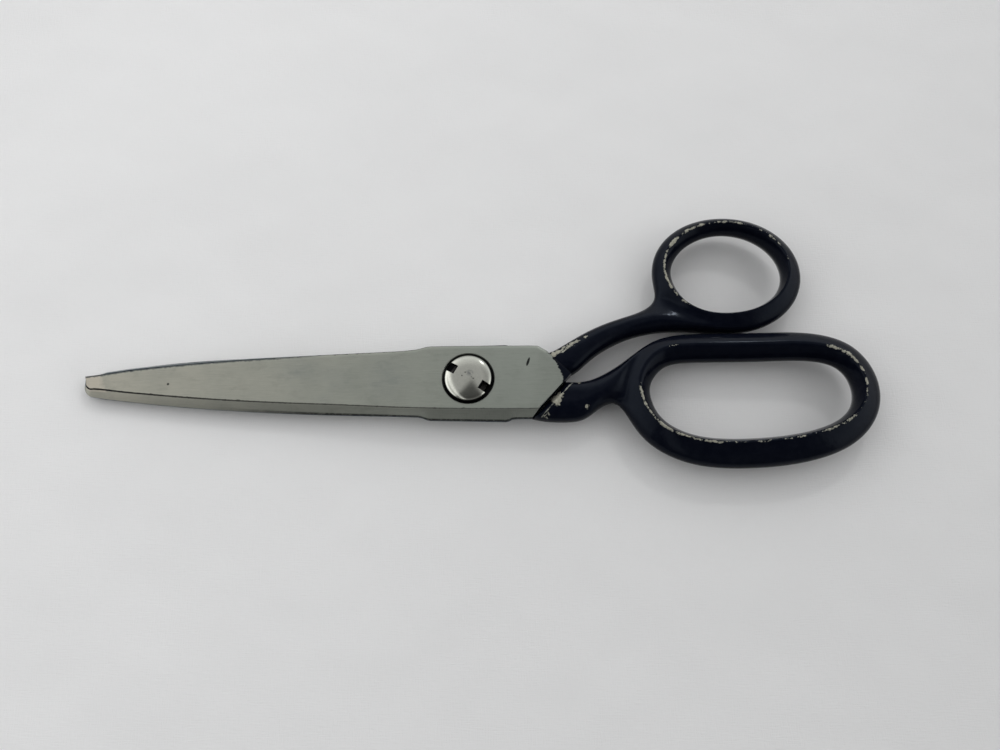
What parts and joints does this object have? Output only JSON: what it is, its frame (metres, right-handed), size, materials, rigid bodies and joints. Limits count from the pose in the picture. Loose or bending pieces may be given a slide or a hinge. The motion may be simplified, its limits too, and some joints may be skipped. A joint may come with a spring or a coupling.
{
  "type": "fabric shears",
  "caption": "Dressmaker's shears with two long forged halves on a pivot bolt, a small thumb ring and a larger finger bow.",
  "frame": {"origin": "on the pivot axis, at the flat back face of the pivot bolt's head", "axes": "+X from the pivot to the handles, +Y to the thumb side, +Z from the bolt's head to the nut"},
  "size_m": [0.2059, 0.0695, 0.0095],
  "materials": {
    "thumb_half": "worn nickel plate on the blade, chipped glossy black enamel on the shank and ring",
    "finger_half": "worn nickel plate on the blade, chipped glossy black enamel on the shank and bow",
    "pivot_bolt": "worn plate",
    "tension_washer": "dull spring steel",
    "pivot_nut": "polished, lightly scratched"
  },
  "bodies": {
    "finger_half": {"finger_half": "finger_half", "pivot_bolt": "pivot_bolt", "tension_washer": "tension_washer"},
    "thumb_half": {"thumb_half": "thumb_half"},
    "pivot_nut": {"pivot_nut": "pivot_nut"}
  },
  "joints": [
    {"name": "blades_open", "type": "hinge", "parent": "finger_half", "child": "thumb_half", "pos_m": [0, 0, 0], "axis": [0, 0, 1], "range_deg": [0, 100]},
    {"name": "nut_adjust", "type": "hinge", "parent": "finger_half", "child": "pivot_nut", "pos_m": [0, 0, 0], "axis": [0, 0, 1], "range_deg": [-90, 90]}
  ]
}
